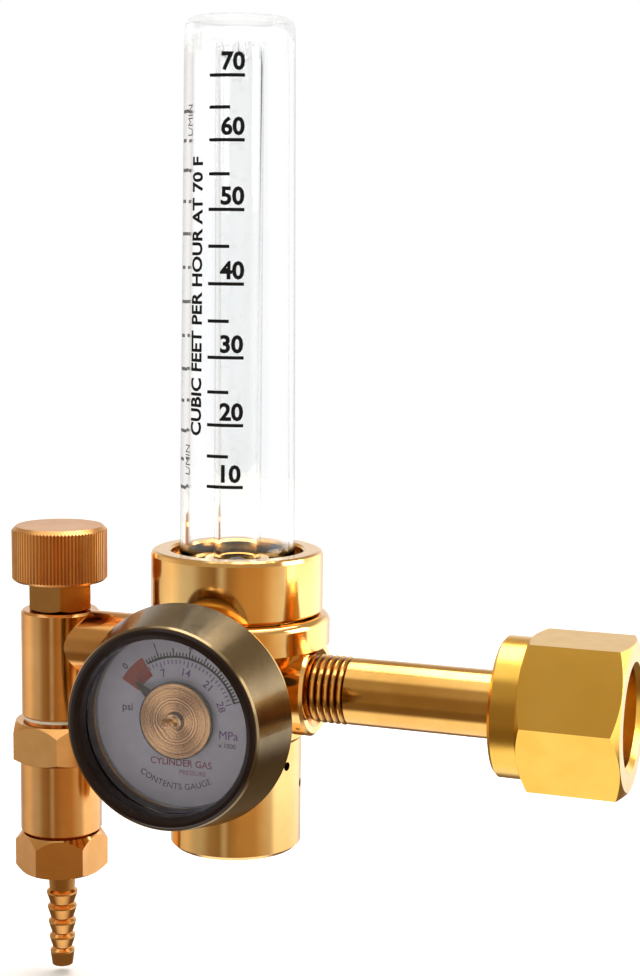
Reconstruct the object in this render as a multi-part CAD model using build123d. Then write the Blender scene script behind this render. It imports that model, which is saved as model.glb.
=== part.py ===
from build123d import *

# A gas flowmeter regulator: an inlet stem with its nut, a preset piston regulator, a cylinder
# pressure gauge, a flow tube with a float ball, and a needle valve that ends in a hose barb.
#
# Millimetres, +Z up. Every piece is drawn about the body's upright axis, with the inlet stem
# along +X, the gauge facing -Y and the outlet valve at -X, and is moved once, on writing, so that
# the origin is the centre of the inlet washer's outer face, where a cylinder valve's outlet seats.

import os
from math import cos, pi, sin, tau

os.makedirs("parts", exist_ok=True)

# ---------------------------------------------------------------- driving dimensions
GAP = 0.3                     # between pieces that move past each other
RUN = 0.08                    # radial clearance of a running fit
EDGE = 0.6                    # usual chamfer on a turned edge
PAST = 1.0                    # how far a cutting tool runs past a face

# main body, on the upright axis
NECK_R = 14.5
COLLAR_R = 19.0
COLLAR_LOW, COLLAR_TOP = 8.4, 14.4
COLLAR_ROUND = 1.6
SPIGOT_R = 15.4               # carries the ring nut
SPIGOT_TOP = 21.4
WELL_R = 9.7                  # annular well round the tube socket
WELL_FLOOR = 16.5
SOCKET_R, SOCKET_TOP = 7.0, 25.6
SEAM_Z = -10.8                # where the piston housing meets the body
LOWER_SPIGOT_R = 11.8
LOWER_SPIGOT_Z = -14.4
HIGH_PRESSURE_R = 1.8         # drilling from the inlet port to the nozzle
RISER_R, RISER_Y = 0.9, 4.4   # slanted drilling from the seat chamber up to the flow tube
OUTLET_DROP_R, OUTLET_DROP_X = 1.1, -8.35
OUTLET_R = 2.0                # drilling from the well to the needle valve

# piston regulator
HOUSING_R = 13.4
HOUSING_LOW = -34.0
HOUSING_BORE_R = 11.0
FLOOR_Z = -31.0
VENTS = ((-18, -15.8), (10, -20.8))   # angle and height of the spring chamber's vents
NOZZLE_R = 3.3
NOZZLE_FACE, NOZZLE_TOP = -4.8, -2.4
SEAT_CHAMBER_R, SEAT_CHAMBER_LOW = 4.7, -9.6
CROSS_HOLE_R, CROSS_HOLE_Z = 0.55, -8.9   # joins the seat chamber to the piston's bore
PISTON_BORE_R = 0.8
SEAT_PAD_R = 2.3
PISTON_STEM_R = 3.52
PISTON_TRAVEL = 0.8
FLANGE_LOW, FLANGE_TOP = -28.6, -24.0
FLANGE_RING_Z, STEM_RING_Z = -26.25, -12.1
SPRING_WIRE_R, SPRING_MEAN_R, SPRING_TURNS = 0.9, 7.4, 4.0

# inlet
BOSS_X = 17.6                 # end face of the inlet boss
BOSS_R = 9.8
INLET_PORT_X = 9.4            # where the inlet port's thread ends inside the body
PORT_R = 6.5                  # pipe thread in the inlet and outlet ports
STEM_R = 6.72
THREAD_PITCH = 25.4 / 18
NUT_X0, NUT_HEX_X, NUT_MOUTH_X = 56.0, 61.5, 81.2
NUT_COLLAR_R = 13.8
NUT_AF = 28.575
NUT_BORE_R = 9.7              # across the nut's thread, from the washer to the mouth
NUT_RELIEF_R = 10.2           # behind the thread, round the stem's head
NUT_BACK_R = STEM_R + GAP
SHOULDER_X = 64.4
HEAD_R, HEAD_X = 9.0, 70.0
WASHER_FACE_X = 71.6          # the row's origin

# flow tube
COVER_R_LOW, COVER_R_TOP = 11.7, 10.9
COVER_WALL = 1.6
COVER_ROOF = 2.6
COVER_TOP = 132.0
FLANGE_R = 14.9
RING_R = 17.5
RING_LOW, RING_TOP = 14.7, 27.3
RING_LIP_Z = 24.3
RING_MOUTH_R = 13.4
TUBE_R = 4.75
TUBE_BORE_LOW_R, TUBE_BORE_TOP_R = 3.5, 4.0
TUBE_SEAT_Z, FOOT_RING_Z = 19.0, 23.0
TUBE_LOW, TUBE_TOP = 19.6, 126.4
BALL_R = 3.175
BALL_STOP_R = 4.05

# gauge, about an axis along -Y at this height; d is the distance in front of the body's axis
GAUGE_Z = -1.2
GAUGE_BOSS_R, GAUGE_BOSS_D = 8.2, 16.0
SOCKET_SHANK_R = 4.9
CASE_BACK_D = 19.6
CASE_R, CASE_WALL = 19.7, 0.7
BEZEL_REAR_R, BEZEL_FRONT_R = 21.9, 19.5
BEZEL_REAR_D, BEZEL_FRONT_D = 25.6, 37.2
DIAL_R, DIAL_D = 18.2, 28.0
CASE_FRONT_D, LENS_REST_D = 29.2, 33.6
LIP_R = 18.95                 # the dark lip's fit in the bezel
POINTER_DISC_R, POINTER_TIP_R = 7.4, 10.6
POINTER_ZERO = 140            # degrees from +X, seen from the front
PINION_TEETH, SECTOR_TEETH = 10, 60
GEAR_MODULE = 0.35
SECTOR_HALF = 5               # teeth cut each side of the sector's middle
PINION_R = PINION_TEETH * GEAR_MODULE / 2
SECTOR_R = SECTOR_TEETH * GEAR_MODULE / 2
SECTOR_REST = 78.0            # degrees; the sector's middle, two teeth short of upright at rest
TAIL = 5.5                    # sector pivot to link pivot
TUBE_COIL_R, COIL_D = 16.2, 22.6   # the Bourdon tube's arc and its middle depth
TIP_X, TIP_Z = 15.4, -4.6     # link's outer pivot
PIVOT_Z = -PINION_R - SECTOR_R
STAFF_R = 0.5                 # movement pivots and screws
BACK_PLATE_D, FRONT_PLATE_D, PLATE = 24.05, 26.25, 0.6
PLATE_WIDE, PLATE_TALL, PLATE_MIDDLE_Z = 8.4, 20.0, -6.35
SCREW_END_D = 21.6
SCREW_CORNERS = [(3.1, 2.5), (-3.1, 2.5), (3.1, -15.2), (-3.1, -15.2)]

# needle valve and outlet, on an upright axis at this X
VALVE_X = -40.3
ARM_Z = 5.0
ARM_R = 6.9
OUTLET_BOSS_R = 8.4
OUTLET_BOSS_D = 19.4          # end face of the outlet boss, out past the collar
VALVE_R = 8.2
VALVE_LOW, VALVE_TOP = -10.9, 11.8
VALVE_STEM_R = 2.45
NEEDLE_SEAT_R, NEEDLE_SEAT_Z = 1.2, 1.4
GLAND_SHANK_R, GLAND_SEAT_Z = 4.6, 8.2
GRUB_R, GRUB_Z = 1.5, 25.4    # the knob's set screw
GLAND_AF, GLAND_TOP = 12.7, 19.4
KNOB_R, KNOB_LOW, KNOB_TOP = 10.0, 18.0, 29.6
KNURLS = 84
ADAPTER_AF = 19.05
ADAPTER_HEX_LOW, ADAPTER_HEX_TOP = -20.4, -12.0
ADAPTER_R, ADAPTER_LOW = 8.6, -36.2
ADAPTER_BORE_R = 2.6
ADAPTER_SHANK_R, ADAPTER_SHOULDER = 5.2, -11.5
OUTLET_THREAD_R, OUTLET_THREAD_LOW = 7.0, -42.2
HOSE_AF = 17.0
HOSE_NUT_TOP, HOSE_NUT_LOW = -36.4, -44.9
BARB_TIP_Z = -66.4
BARB_FIRST_Z = -50.0
BARB_PITCH = 3.3
BARB_COUNT = 5
BARB_TOP_R, BARB_TIP_R = 3.3, 2.6
BARB_BORE_R = 1.7

BASE = (Align.CENTER, Align.CENTER, Align.MIN)


# ---------------------------------------------------------------- shared shapes
def turned(*outline):
    """A solid turned about Z from its half outline of (radius, height) points."""
    return revolve(Plane.XZ * make_face(Polyline(*outline, close=True)), Axis.Z)


def rod(radius, low, high):
    """An upright cylinder between two heights."""
    return Pos(0, 0, low) * Cylinder(radius, high - low, align=BASE)


def ring(outer, inner, low, high):
    """An upright round ring between two heights."""
    return rod(outer, low, high) - rod(inner, low, high)


def hexagon(across_flats, low, high, turn=0):
    """A hexagonal bar between two heights, with one corner at the angle turn."""
    outline = Rot(0, 0, turn) * RegularPolygon(across_flats / 2, 6, major_radius=False)
    return Pos(0, 0, low) * extrude(outline, high - low)


def coned_hexagon(across_flats, low, high, turn=0, top_rise=None):
    """A hexagonal bar with its corners turned off to cones at both ends."""
    flat = across_flats / 2 - 0.15
    corner = across_flats / 2 / cos(pi / 6) + 0.1
    low_rise = (corner - flat) * 0.577
    top_rise = top_rise or low_rise
    envelope = turned((0, low), (flat, low), (corner, low + low_rise), (corner, high - top_rise),
                      (flat, high), (0, high))
    return hexagon(across_flats, low, high, turn) & envelope


def o_ring(mean_radius, wire_radius, height):
    """A round sealing ring lying flat at a height."""
    return Pos(0, 0, height) * Torus(mean_radius, wire_radius)


def to_x(shape, z=0.0):
    """Lays an upright shape down along +X."""
    return Pos(0, 0, z) * Rot(0, 90, 0) * shape


def to_front(shape):
    """Lays an upright shape down along the gauge's axis, heights becoming distances forward."""
    return Pos(0, 0, GAUGE_Z) * Rot(90, 0, 0) * shape


def at_valve(shape):
    """Moves a shape from the body's axis to the valve's."""
    return Pos(VALVE_X, 0, 0) * shape


def save(name, shape):
    """Writes one node, moved so that the origin is on the inlet washer's outer face."""
    export_step(Pos(-WASHER_FACE_X, 0, 0) * shape, f"parts/{name}.step")


# ---------------------------------------------------------------- body and piston regulator
def body_outline():
    """The body's turned outside: neck, collar, and the spigots above and below."""
    outside = turned(
        (0, LOWER_SPIGOT_Z),
        (LOWER_SPIGOT_R, LOWER_SPIGOT_Z),
        (LOWER_SPIGOT_R, SEAM_Z),
        (NECK_R - 0.6, SEAM_Z),
        (NECK_R, SEAM_Z + 0.6),
        (NECK_R, COLLAR_LOW - 4.0),
        (COLLAR_R - 1.2, COLLAR_LOW - 1.2),
        (COLLAR_R, COLLAR_LOW),
        (COLLAR_R, COLLAR_TOP),
        (SPIGOT_R, COLLAR_TOP),
        (SPIGOT_R, SPIGOT_TOP),
        (WELL_R, SPIGOT_TOP),
        (WELL_R, WELL_FLOOR),
        (SOCKET_R, WELL_FLOOR),
        (SOCKET_R, SOCKET_TOP - 0.6),
        (SOCKET_R - 0.6, SOCKET_TOP),
        (0, SOCKET_TOP),
    )
    rim = outside.edges().filter_by(GeomType.CIRCLE).filter_by(
        lambda edge: abs(edge.radius - COLLAR_R) < 0.01 and edge.center().Z > COLLAR_TOP - 0.1)
    seal_groove = ring(14.2, 12.6, SPIGOT_TOP - 1.3, SPIGOT_TOP)
    return fillet(rim, COLLAR_ROUND) - seal_groove


def body_bosses():
    """The three side bosses: inlet, gauge and outlet."""
    inlet = to_x(boss(BOSS_R, BOSS_X))
    gauge = to_front(boss(GAUGE_BOSS_R, GAUGE_BOSS_D))
    outlet = Rot(0, 0, 180) * to_x(boss(OUTLET_BOSS_R, OUTLET_BOSS_D), ARM_Z)
    return inlet + gauge + outlet


def boss(radius, length):
    """A round boss with a chamfered end, standing on the body's axis."""
    return turned((0, 0), (radius, 0), (radius, length - EDGE), (radius - EDGE, length), (0, length))


def body_passages():
    """Everything drilled out of the body."""
    countersink = turned(
        (0, BOSS_X - 1.2),
        (PORT_R, BOSS_X - 1.2),
        (PORT_R + 1.4, BOSS_X),
        (PORT_R + 1.4, BOSS_X + PAST),
        (0, BOSS_X + PAST),
    )
    inlet_port = rod(PORT_R, INLET_PORT_X, BOSS_X) + countersink
    high_pressure = to_x(rod(HIGH_PRESSURE_R, 0, INLET_PORT_X + PAST) + inlet_port)
    gauge_port = to_front(rod(1.0, 0, 9.0) + rod(SOCKET_SHANK_R, 8.4, GAUGE_BOSS_D + PAST))
    nozzle_bore = rod(1.2, NOZZLE_FACE, 0.5) + rod(NOZZLE_R, NOZZLE_FACE, NOZZLE_TOP)
    seat_chamber = rod(SEAT_CHAMBER_R, SEAT_CHAMBER_LOW, NOZZLE_FACE)
    piston_bore = rod(PISTON_STEM_R + RUN, LOWER_SPIGOT_Z - PAST, SEAT_CHAMBER_LOW)
    tube_seat = rod(TUBE_R + 0.1, TUBE_SEAT_Z, SOCKET_TOP + PAST)
    tube_seat += rod(BALL_STOP_R + 0.05, TUBE_SEAT_Z - 1.6, TUBE_SEAT_Z + 0.1)
    foot_groove = rod(5.95, FOOT_RING_Z - 0.6, FOOT_RING_Z + 0.6)
    lean = Plane(origin=(0, RISER_Y, -6.5), z_dir=(0, -1.4, 24.5))
    riser = lean * Cylinder(RISER_R, 24.3, align=BASE)
    outlet_drop = Pos(OUTLET_DROP_X, 0, 0) * rod(OUTLET_DROP_R, ARM_Z - 1.5, WELL_FLOOR + PAST)
    port = rod(OUTLET_R, 7.0, 12.0) + rod(PORT_R, 11.0, OUTLET_BOSS_D + PAST)
    outlet_port = Pos(0, 0, ARM_Z) * Rot(0, -90, 0) * port
    return [high_pressure, gauge_port, nozzle_bore, seat_chamber, piston_bore, tube_seat,
            foot_groove, riser, outlet_drop, outlet_port]


def make_body():
    body = body_outline() + body_bosses()
    for cut in body_passages():
        body -= cut
    save("main_body", body)


def make_piston_housing():
    """The lower barrel: a cup with two vents into the spring chamber."""
    housing = turned(
        (0, HOUSING_LOW),
        (HOUSING_R - 0.8, HOUSING_LOW),
        (HOUSING_R, HOUSING_LOW + 0.8),
        (HOUSING_R, SEAM_Z - 0.4),
        (HOUSING_R - 0.4, SEAM_Z),
        (LOWER_SPIGOT_R, SEAM_Z),
        (LOWER_SPIGOT_R, LOWER_SPIGOT_Z - 0.2),
        (HOUSING_BORE_R, LOWER_SPIGOT_Z - 0.2),
        (HOUSING_BORE_R, FLOOR_Z),
        (0, FLOOR_Z),
    )
    for angle, height in VENTS:
        housing -= Pos(0, 0, height) * Rot(0, 0, angle) * Rot(0, 90, 0) * rod(0.9, 8, 15)
    save("piston_housing", housing)


def make_piston_group():
    """Nozzle, piston, seat pad, seals and the spring that sets the delivery pressure."""
    nozzle_tip = NOZZLE_FACE - 0.5
    nozzle = turned((0.7, NOZZLE_TOP), (NOZZLE_R, NOZZLE_TOP), (NOZZLE_R, NOZZLE_FACE), (1.7, NOZZLE_FACE),
                    (1.3, nozzle_tip), (0.7, nozzle_tip))
    save("seat_nozzle", nozzle)

    pad_top = nozzle_tip - PISTON_TRAVEL - 0.2
    stem_top = pad_top - 0.2
    pad_seat = pad_top - 1.6
    bore_top = CROSS_HOLE_Z + 0.5
    piston = turned(
        (PISTON_BORE_R, FLOOR_Z + GAP),
        (4.0, FLOOR_Z + GAP),
        (4.0, FLANGE_LOW),
        (HOUSING_BORE_R - RUN, FLANGE_LOW),
        (HOUSING_BORE_R - RUN, FLANGE_RING_Z - 0.85),
        (9.25, FLANGE_RING_Z - 0.85),
        (9.25, FLANGE_RING_Z + 0.85),
        (HOUSING_BORE_R - RUN, FLANGE_RING_Z + 0.85),
        (HOUSING_BORE_R - RUN, FLANGE_TOP),
        (PISTON_STEM_R, FLANGE_TOP),
        (PISTON_STEM_R, STEM_RING_Z - 0.5),
        (2.6, STEM_RING_Z - 0.5),
        (2.6, STEM_RING_Z + 0.5),
        (PISTON_STEM_R, STEM_RING_Z + 0.5),
        (PISTON_STEM_R, stem_top),
        (SEAT_PAD_R, stem_top),
        (SEAT_PAD_R, pad_seat),
        (0, pad_seat),
        (0, bore_top),
        (PISTON_BORE_R, bore_top),
    )
    save("piston", piston - to_x(rod(CROSS_HOLE_R, -5, 5), CROSS_HOLE_Z))
    save("seat_pad", rod(SEAT_PAD_R, pad_seat, pad_top))
    save("piston_flange_o_ring", o_ring(10.1, 0.8, FLANGE_RING_Z))
    save("piston_stem_o_ring", o_ring(3.06, 0.45, STEM_RING_Z))

    low = FLANGE_TOP + SPRING_WIRE_R + GAP
    high = LOWER_SPIGOT_Z - SPRING_WIRE_R - GAP
    path = Pos(0, 0, low) * Helix((high - low) / SPRING_TURNS, high - low, SPRING_MEAN_R)
    start = Plane(origin=path @ 0, z_dir=path % 0)
    save("main_spring", sweep(start * Circle(SPRING_WIRE_R), path=path))


# ---------------------------------------------------------------- inlet stem and nut
def thread_ridges(crest_r, root_r, start, count):
    """Half-outline points of a thread's ridges, from start upwards."""
    points = []
    for turn in range(count):
        low = start + turn * THREAD_PITCH
        points += [(root_r, low), (crest_r, low + 0.4 * THREAD_PITCH), (crest_r, low + 0.55 * THREAD_PITCH)]
    return points + [(root_r, start + count * THREAD_PITCH)]


def make_inlet():
    """The stem with its pipe thread and head, the filter, the washer and the free nut."""
    ridges = thread_ridges(6.85, 6.25, BOSS_X + 0.2, 5)
    filter_x = HEAD_X - 8.0
    nipple = turned(
        (2.2, INLET_PORT_X + 0.2),
        (PORT_R, INLET_PORT_X + 0.2),
        (PORT_R, BOSS_X),
        *ridges,
        (STEM_R, BOSS_X + 0.5 + 5 * THREAD_PITCH),
        (STEM_R, SHOULDER_X + GAP),
        (HEAD_R - 0.5, SHOULDER_X + GAP),
        (HEAD_R, SHOULDER_X + GAP + 0.5),
        (HEAD_R, HEAD_X - 0.8),
        (HEAD_R - 0.8, HEAD_X),
        (3.2, HEAD_X),
        (3.2, filter_x),
        (2.2, filter_x),
    )
    save("inlet_nipple", to_x(nipple))
    save("inlet_filter", to_x(rod(3.2, filter_x, HEAD_X - 1)))
    save("inlet_washer", to_x(ring(8.4, 3.3, HEAD_X, WASHER_FACE_X)))

    collar = turned((0, NUT_X0), (NUT_COLLAR_R - 0.6, NUT_X0), (NUT_COLLAR_R, NUT_X0 + 0.6),
                    (NUT_COLLAR_R, NUT_HEX_X + 0.2), (0, NUT_HEX_X + 0.2))
    bar = coned_hexagon(NUT_AF, NUT_HEX_X, NUT_MOUTH_X, turn=90)
    bore = turned(
        (0, NUT_X0 - 1),
        (NUT_BACK_R, NUT_X0 - 1),
        (NUT_BACK_R, SHOULDER_X),
        (NUT_RELIEF_R, SHOULDER_X),
        (NUT_RELIEF_R, WASHER_FACE_X),
        (NUT_BORE_R, WASHER_FACE_X),
        (NUT_BORE_R, NUT_MOUTH_X - 1.0),
        (NUT_BORE_R + 1.0, NUT_MOUTH_X),
        (NUT_BORE_R + 1.0, NUT_MOUTH_X + 1),
        (0, NUT_MOUTH_X + 1),
    )
    save("inlet_nut", to_x(collar + bar - bore))


# ---------------------------------------------------------------- flow tube
def make_flow_tube():
    """Ring nut, printed cover, tapered inner tube, its seals and stops, and the float ball."""
    ring_nut = turned(
        (SPIGOT_R + 0.05, RING_LOW + 0.5),
        (SPIGOT_R + 0.55, RING_LOW),
        (RING_R - 0.6, RING_LOW),
        (RING_R, RING_LOW + 0.6),
        (RING_R, RING_TOP - 1.0),
        (RING_R - 0.3, RING_TOP - 0.3),
        (RING_R - 1.0, RING_TOP),
        (RING_MOUTH_R + 0.5, RING_TOP),
        (RING_MOUTH_R, RING_TOP - 0.5),
        (RING_MOUTH_R, RING_LIP_Z),
        (SPIGOT_R + 0.05, RING_LIP_Z),
    )
    save("tube_ring_nut", ring_nut)

    cover = turned(
        (COVER_R_LOW - COVER_WALL, SPIGOT_TOP),
        (FLANGE_R, SPIGOT_TOP),
        (FLANGE_R, RING_LIP_Z),
        (COVER_R_LOW, RING_LIP_Z),
        (COVER_R_TOP, COVER_TOP - 1.4),
        (COVER_R_TOP - 0.45, COVER_TOP - 0.4),
        (COVER_R_TOP - 1.4, COVER_TOP),
        (0, COVER_TOP),
        (0, COVER_TOP - COVER_ROOF),
        (COVER_R_TOP - COVER_WALL, COVER_TOP - COVER_ROOF),
    )
    save("flow_tube_cover", cover)
    save("cover_o_ring", o_ring(13.4, 0.65, SPIGOT_TOP - 0.65))

    inner = turned(
        (TUBE_BORE_LOW_R, TUBE_LOW),
        (TUBE_R, TUBE_LOW),
        (TUBE_R, TUBE_TOP),
        (TUBE_BORE_TOP_R, TUBE_TOP),
    )
    save("flow_tube", inner)
    save("tube_foot_seal", ring(TUBE_R, TUBE_BORE_LOW_R, TUBE_SEAT_Z, TUBE_LOW))
    save("tube_foot_o_ring", o_ring(5.35, 0.6, FOOT_RING_Z))

    roof = COVER_TOP - COVER_ROOF
    plug_r = TUBE_BORE_TOP_R - 0.1
    cap = turned(
        (0, TUBE_TOP - 2.0),
        (plug_r, TUBE_TOP - 2.0),
        (plug_r, TUBE_TOP),
        (TUBE_R, TUBE_TOP),
        (TUBE_R, TUBE_TOP + 0.9),
        (1.5, TUBE_TOP + 0.9),
        (1.5, roof),
        (0, roof),
    )
    save("tube_top_cap", cap - gas_holes(2.7, 0.75, TUBE_TOP - 3, TUBE_TOP + 2))

    stop = turned(
        (0, TUBE_SEAT_Z - 1.5),
        (BALL_STOP_R, TUBE_SEAT_Z - 1.5),
        (BALL_STOP_R, TUBE_SEAT_Z),
        (1.2, TUBE_SEAT_Z),
        (0, TUBE_SEAT_Z - 0.4),
    )
    save("ball_stop", stop - gas_holes(2.3, 0.7, TUBE_SEAT_Z - 2, TUBE_SEAT_Z + PAST))
    save("float_ball", Pos(0, 0, TUBE_SEAT_Z + GAP + BALL_R) * Sphere(BALL_R))


def gas_holes(circle_r, hole_r, low, high):
    """Six upright drillings on a circle."""
    drill = Pos(circle_r, 0, 0) * rod(hole_r, low, high)
    return [Rot(0, 0, angle) * drill for angle in range(0, 360, 60)]


# ---------------------------------------------------------------- gauge shell
def make_gauge_shell():
    """Socket, case, conical bezel, dark lip, lens, dial and relief plug."""
    arm_d, passage_d = 20.4, 22.2
    arm = Pos(0, -6.6, arm_d) * Box(PLATE_WIDE, 21.6, BACK_PLATE_D - arm_d - 0.05, align=BASE)
    socket = rod(SOCKET_SHANK_R, 8.6, arm_d) + hexagon(12.7, GAUGE_BOSS_D + 0.2, CASE_BACK_D) + arm
    socket -= rod(0.9, 8, passage_d)
    socket -= Pos(0, 0, passage_d) * Rot(90, 0, 0) * rod(0.7, 0, 15.2)
    socket -= coil_segment(-112, -98, 1.62, 4.0)
    for corner in SCREW_CORNERS:
        socket -= Pos(*corner, 0) * rod(STAFF_R, SCREW_END_D, BACK_PLATE_D)
    save("gauge_socket", to_front(socket))

    inside_r = CASE_R - CASE_WALL
    ledge_r = inside_r - 1.6
    hole_r = SOCKET_SHANK_R + 0.05
    case = turned(
        (hole_r, CASE_BACK_D),
        (CASE_R - 1.2, CASE_BACK_D),
        (CASE_R - 0.35, CASE_BACK_D + 0.35),
        (CASE_R, CASE_BACK_D + 1.2),
        (CASE_R, CASE_FRONT_D),
        (inside_r, CASE_FRONT_D),
        (inside_r, DIAL_D),
        (ledge_r, DIAL_D),
        (ledge_r, DIAL_D - 0.5),
        (inside_r, DIAL_D - 0.5),
        (inside_r, CASE_BACK_D + 0.8),
        (hole_r, CASE_BACK_D + 0.8),
    )
    relief = Pos(9.5, 8.0, 0)
    save("gauge_case", to_front(case - relief * rod(2.6, CASE_BACK_D - 1, CASE_BACK_D + 1)))
    plug = turned((0, CASE_BACK_D - 0.5), (3.4, CASE_BACK_D - 0.5), (3.4, CASE_BACK_D), (2.6, CASE_BACK_D),
                  (2.6, CASE_BACK_D + 1.0), (0, CASE_BACK_D + 1.0))
    save("case_relief_plug", to_front(relief * plug))

    bezel = turned(
        (CASE_R, BEZEL_REAR_D + 0.5),
        (CASE_R + 0.4, BEZEL_REAR_D),
        (BEZEL_REAR_R - 0.5, BEZEL_REAR_D),
        (BEZEL_REAR_R, BEZEL_REAR_D + 0.5),
        (BEZEL_FRONT_R, BEZEL_FRONT_D - 0.5),
        (BEZEL_FRONT_R - 0.3, BEZEL_FRONT_D),
        (LIP_R, BEZEL_FRONT_D),
        (LIP_R, LENS_REST_D),
        (18.4, LENS_REST_D),
        (18.4, CASE_FRONT_D),
        (CASE_R, CASE_FRONT_D),
    )
    save("gauge_bezel", to_front(bezel))
    lip = turned((16.9, 34.4), (LIP_R, 34.4), (LIP_R, BEZEL_FRONT_D), (18.6, 37.5), (17.9, 37.6),
                 (17.2, 37.3), (16.9, 36.6))
    save("lens_ring", to_front(lip))
    dial_front = DIAL_D + 0.5
    lens = turned((0, 33.2), (17.0, 33.0), (17.0, dial_front), (18.35, dial_front), (18.35, LENS_REST_D),
                  (18.9, LENS_REST_D), (18.9, 34.3), (16.8, 34.3), (0, 34.7))
    save("gauge_lens", to_front(lens))
    save("gauge_dial", to_front(ring(DIAL_R, 1.0, DIAL_D, dial_front)))


# ---------------------------------------------------------------- gauge movement
def coil_segment(start, end, thick, width):
    """An arc of the Bourdon tube's flat-sided section, between two angles."""
    section = Plane.XZ * Pos(TUBE_COIL_R, COIL_D) * Rectangle(thick, width)
    return Rot(0, 0, start) * revolve(section, Axis.Z, end - start)


def gear_outline(teeth, first, last):
    """Outline points of straight-flanked teeth, from tooth index first to last."""
    pitch_r = teeth * GEAR_MODULE / 2
    root_r = pitch_r - 1.3 * GEAR_MODULE
    tip_r = pitch_r + 0.75 * GEAR_MODULE
    step = tau / teeth
    points = []
    for index in range(first, last):
        middle = index * step
        for radius, offset in ((root_r, -0.33), (tip_r, -0.11), (tip_r, 0.11), (root_r, 0.33)):
            angle = middle + offset * step
            points.append((radius * cos(angle), radius * sin(angle)))
    return points


def make_pinion_and_pointer():
    gear = extrude(make_face(Polyline(*gear_outline(PINION_TEETH, 0, PINION_TEETH), close=True)), 1.0)
    gear = Pos(0, 0, 25.0) * Rot(0, 0, 90 + 180 / PINION_TEETH) * gear
    staff = rod(STAFF_R, 24.1, 30.6)
    save("pointer_pinion", to_front(gear + staff))

    rim_r = POINTER_DISC_R - 0.5
    disc = turned(
        (STAFF_R, 29.2),
        (1.5, 29.2),
        (1.5, 29.8),
        (rim_r, 29.8),
        (rim_r, 29.1),
        (POINTER_DISC_R, 29.1),
        (POINTER_DISC_R, 30.1),
        (rim_r, 30.25),
        (1.9, 30.25),
        (1.6, 31.0),
        (STAFF_R, 31.0),
    )
    outline = [(6.5, -1.1), (POINTER_TIP_R, -0.25), (POINTER_TIP_R, 0.25), (6.5, 1.1)]
    tip = extrude(make_face(Polyline(*outline, close=True)), 0.25)
    save("pointer", to_front(disc + Pos(0, 0, 29.85) * Rot(0, 0, POINTER_ZERO) * tip))


def make_sector():
    """The toothed sector on its pivot, its tail, and the link to the tube's tip."""
    points = gear_outline(SECTOR_TEETH, -SECTOR_HALF, SECTOR_HALF + 1)
    outline = make_face(Polyline((0, -0.01), *points, (0, 0.01), close=True))
    blade = extrude(outline, 0.8)
    blade = Rot(0, 0, SECTOR_REST) * (blade - Pos(6.4, 0, -1) * Box(2.6, 2.4, 3, align=BASE))
    tail = Box(TAIL, 2.0, 0.8, align=(Align.MIN, Align.CENTER, Align.MIN))
    tail += Pos(TAIL, 0, 0) * rod(1.2, 0, 0.8)
    hub = rod(1.3, 0, 0.8)
    staff = rod(STAFF_R, -1.0, 2.0)
    sector = Pos(0, 0, 25.1) * (blade + tail + hub - Pos(TAIL, 0, 0) * rod(STAFF_R + RUN, -1, 2) + staff)
    save("sector_gear", to_front(Pos(0, PIVOT_Z, 0) * sector))

    inner, outer = Vector(TAIL, PIVOT_Z, 0), Vector(TIP_X, TIP_Z, 0)
    along = Plane(origin=(inner + outer) * 0.5, x_dir=outer - inner, z_dir=(0, 0, 1))
    link = along * Box((outer - inner).length, 1.2, 0.5, align=BASE)
    for end in (inner, outer):
        link += Pos(end) * (rod(0.9, 0, 0.5) + rod(STAFF_R, 24.9 - FRONT_PLATE_D, 0.1))
    save("tip_link", to_front(Pos(0, 0, FRONT_PLATE_D) * link))


def make_bourdon_tube():
    """The flat-sided C tube, closed by an end block whose slotted tab takes the link's pin."""
    tube = coil_segment(-11, 252, 1.62, 4.0) - coil_segment(0, 257, 1.0, 3.3)
    tab_middle = Pos(TIP_X - 0.17, TIP_Z + 0.95, 24.6)
    tube += tab_middle * (Box(3.2, 5.2, 0.5, align=BASE) - Pos(0, 0, -1) * Box(2.0, 3.6, 3, align=BASE))
    save("bourdon_tube", to_front(tube))


def make_movement_frame():
    """Two plates on pillars, their screws, and the hairspring in front."""
    plate = Pos(0, PLATE_MIDDLE_Z, 0) * extrude(RectangleRounded(PLATE_WIDE, PLATE_TALL, 1.2), PLATE)
    for pivot in (0, PIVOT_Z):
        plate -= Pos(0, pivot, 0) * rod(STAFF_R + RUN, -PAST, PLATE + PAST)
    for corner in SCREW_CORNERS:
        plate -= Pos(*corner, 0) * rod(STAFF_R, -PAST, PLATE + PAST)
    link_room = Pos(7.2, -9, 0) * rod(4.2, -PAST, PLATE + PAST)
    save("movement_back_plate", to_front(Pos(0, 0, BACK_PLATE_D) * plate))
    save("movement_front_plate", to_front(Pos(0, 0, FRONT_PLATE_D) * (plate - link_room)))

    pillar = ring(0.9, STAFF_R, BACK_PLATE_D + PLATE, FRONT_PLATE_D)
    head_d = FRONT_PLATE_D + PLATE
    slot = Pos(0, 0, head_d + 0.35) * Box(2.0, 0.3, 0.4, align=BASE)
    screw = rod(STAFF_R, SCREW_END_D, head_d) + rod(0.85, head_d, head_d + 0.5) - slot
    save("movement_pillars", to_front(at_corners(pillar)))
    save("movement_screws", to_front(at_corners(screw)))
    save("hairspring", to_front(Pos(0, 0, 27.0) * hairspring()))


def at_corners(shape):
    """Four separate copies of a shape, one at each of the movement's corners."""
    return Compound(children=[Pos(*corner, 0) * shape for corner in SCREW_CORNERS])


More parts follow.
